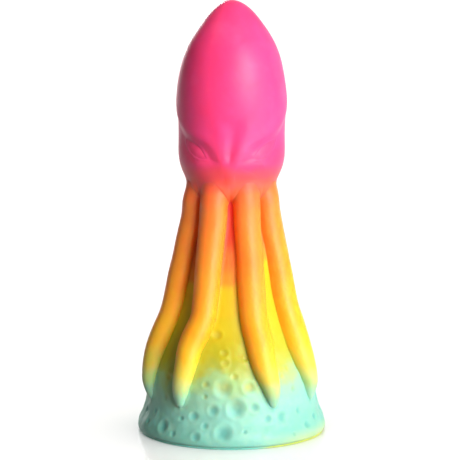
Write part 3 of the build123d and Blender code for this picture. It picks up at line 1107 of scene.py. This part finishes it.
finish_piece(make_mantle(), mantle_material(), "mantle")
EYE_MATERIAL = eye_material()
finish_piece(make_eye("left_eye_lens", -1), EYE_MATERIAL, "left_eye")
finish_piece(make_eye("right_eye_lens", 1), EYE_MATERIAL, "right_eye")
ARM_MATERIAL = arm_material()
for arm_seed, (arm_name, arm_path) in enumerate(PATHS.items(), start=10):
    finish_piece(make_arm(arm_name, arm_path, arm_seed), ARM_MATERIAL, arm_name)
BODY_MATERIAL = body_material()
finish_piece(make_core(), BODY_MATERIAL, "core")
finish_piece(make_mound(), BODY_MATERIAL, "rock_mound")
finish_piece(make_foot(), foot_material(), "suction_foot")


# ---------------------------------------------------------------- floor, light and camera

FLOOR_HALF = 100.0
SUN_DISTANCE = 3.0
CAMERA_LENS, CAMERA_SENSOR = 142.8, 36.0
CAMERA_AT = (-0.0008, -0.9, 0.216)
CAMERA_TARGET = (-0.0008, 0.0, 0.1004)


def make_floor():
    half = FLOOR_HALF
    corners = [(-half, -half, 0), (half, -half, 0), (half, half, 0), (-half, half, 0)]
    mesh = bpy.data.meshes.new("floor")
    mesh.from_pydata(corners, [], [(0, 1, 2, 3)])
    floor = bpy.data.objects.new("floor", mesh)
    bpy.context.scene.collection.objects.link(floor)
    mesh.materials.append(floor_material())
    # It throws no light back at the figure and keeps none from it.
    floor.visible_diffuse = False
    floor.visible_shadow = False
    return floor


def light_group(name, piece, state):
    """A group for light linking: lights reach only the piece, or with EXCLUDE all but the piece."""
    group = bpy.data.collections.new(name)
    group.objects.link(piece)
    group.collection_objects[0].light_linking.link_state = state
    return group


def aim(thing, place, target):
    """Puts a light or camera at a place, looking at a target."""
    thing.location = place
    thing.rotation_euler = (Vector(target) - Vector(place)).to_track_quat("-Z", "Y").to_euler()


def around(azimuth, elevation, distance):
    """A place around the figure, by its direction from the front."""
    angle, climb = math.radians(azimuth), math.radians(elevation)
    level = distance * math.cos(climb)
    return (level * math.sin(angle), -level * math.cos(angle), distance * math.sin(climb))


def add_sun(name, azimuth, elevation, strength, spread, group):
    light = bpy.data.lights.new(name, "SUN")
    light.energy = strength
    light.angle = math.radians(spread)
    sun = bpy.data.objects.new(name, light)
    bpy.context.scene.collection.objects.link(sun)
    aim(sun, around(azimuth, elevation, SUN_DISTANCE), (0, 0, 0))
    sun.light_linking.receiver_collection = group


def add_softbox(name, azimuth, elevation, distance, size, power, group):
    light = bpy.data.lights.new(name, "AREA")
    light.shape = "RECTANGLE"
    light.size, light.size_y = size
    light.energy = power
    softbox = bpy.data.objects.new(name, light)
    bpy.context.scene.collection.objects.link(softbox)
    target = Vector((0, 0, TOTAL_HEIGHT / 2 * MM))
    aim(softbox, Vector(around(azimuth, elevation, distance)) + target, target)
    softbox.light_linking.receiver_collection = group


def make_world():
    """A dim studio, lighter to the right, with a bright wall behind the figure."""
    world = bpy.data.worlds.new("studio")
    world.use_nodes = True
    tree = world.node_tree
    coordinates = tree.nodes.new("ShaderNodeTexCoord")
    split = tree.nodes.new("ShaderNodeSeparateXYZ")
    tree.links.new(coordinates.outputs["Generated"], split.inputs[0])

    def ramp(output, start, end):
        node = tree.nodes.new("ShaderNodeValToRGB")
        elements = node.color_ramp.elements
        elements[0].position, elements[0].color = start[0], (*[start[1]] * 3, 1)
        elements[1].position, elements[1].color = end[0], (*[end[1]] * 3, 1)
        tree.links.new(split.outputs[output], node.inputs["Fac"])
        return node.outputs["Color"]

    join = tree.nodes.new("ShaderNodeMix")
    join.data_type, join.blend_type = "RGBA", "LIGHTEN"
    join.inputs["Factor"].default_value = 1.0
    tree.links.new(ramp("X", (0.0, 0.18), (0.8, 0.40)), join.inputs["A"])
    tree.links.new(ramp("Y", (0.60, 0.0), (0.85, 1.0)), join.inputs["B"])
    background = tree.nodes["Background"]
    tree.links.new(join.outputs["Result"], background.inputs["Color"])
    # What shows past the floor is a plain white backdrop.
    backdrop = tree.nodes.new("ShaderNodeBackground")
    backdrop.inputs["Color"].default_value = (1.0, 1.0, 1.0, 1)
    seen = tree.nodes.new("ShaderNodeLightPath")
    choose = tree.nodes.new("ShaderNodeMixShader")
    tree.links.new(seen.outputs["Is Camera Ray"], choose.inputs["Fac"])
    tree.links.new(background.outputs[0], choose.inputs[1])
    tree.links.new(backdrop.outputs[0], choose.inputs[2])
    tree.links.new(choose.outputs[0], tree.nodes["World Output"].inputs["Surface"])
    bpy.context.scene.world = world


def make_camera():
    camera_data = bpy.data.cameras.new("camera")
    camera_data.lens = CAMERA_LENS
    camera_data.sensor_width = CAMERA_SENSOR
    camera = bpy.data.objects.new("camera", camera_data)
    bpy.context.scene.collection.objects.link(camera)
    aim(camera, CAMERA_AT, CAMERA_TARGET)
    bpy.context.scene.camera = camera


FLOOR = make_floor()
ALL_BUT_FLOOR = light_group("lit_figure", FLOOR, "EXCLUDE")
ONLY_FLOOR = light_group("lit_floor", FLOOR, "INCLUDE")
make_world()
add_sun("key", azimuth=33, elevation=20, strength=4.25, spread=35, group=ALL_BUT_FLOOR)
add_softbox("tall_softbox", azimuth=55, elevation=4, distance=1.5, size=(1.3, 1.5), power=19,
            group=ALL_BUT_FLOOR)
add_sun("back_rim", azimuth=-165, elevation=12, strength=2.4, spread=20, group=ALL_BUT_FLOOR)
add_sun("floor_light", azimuth=20, elevation=82, strength=3.0, spread=90, group=ONLY_FLOOR)
make_camera()
bpy.context.scene.view_settings.view_transform = "Standard"
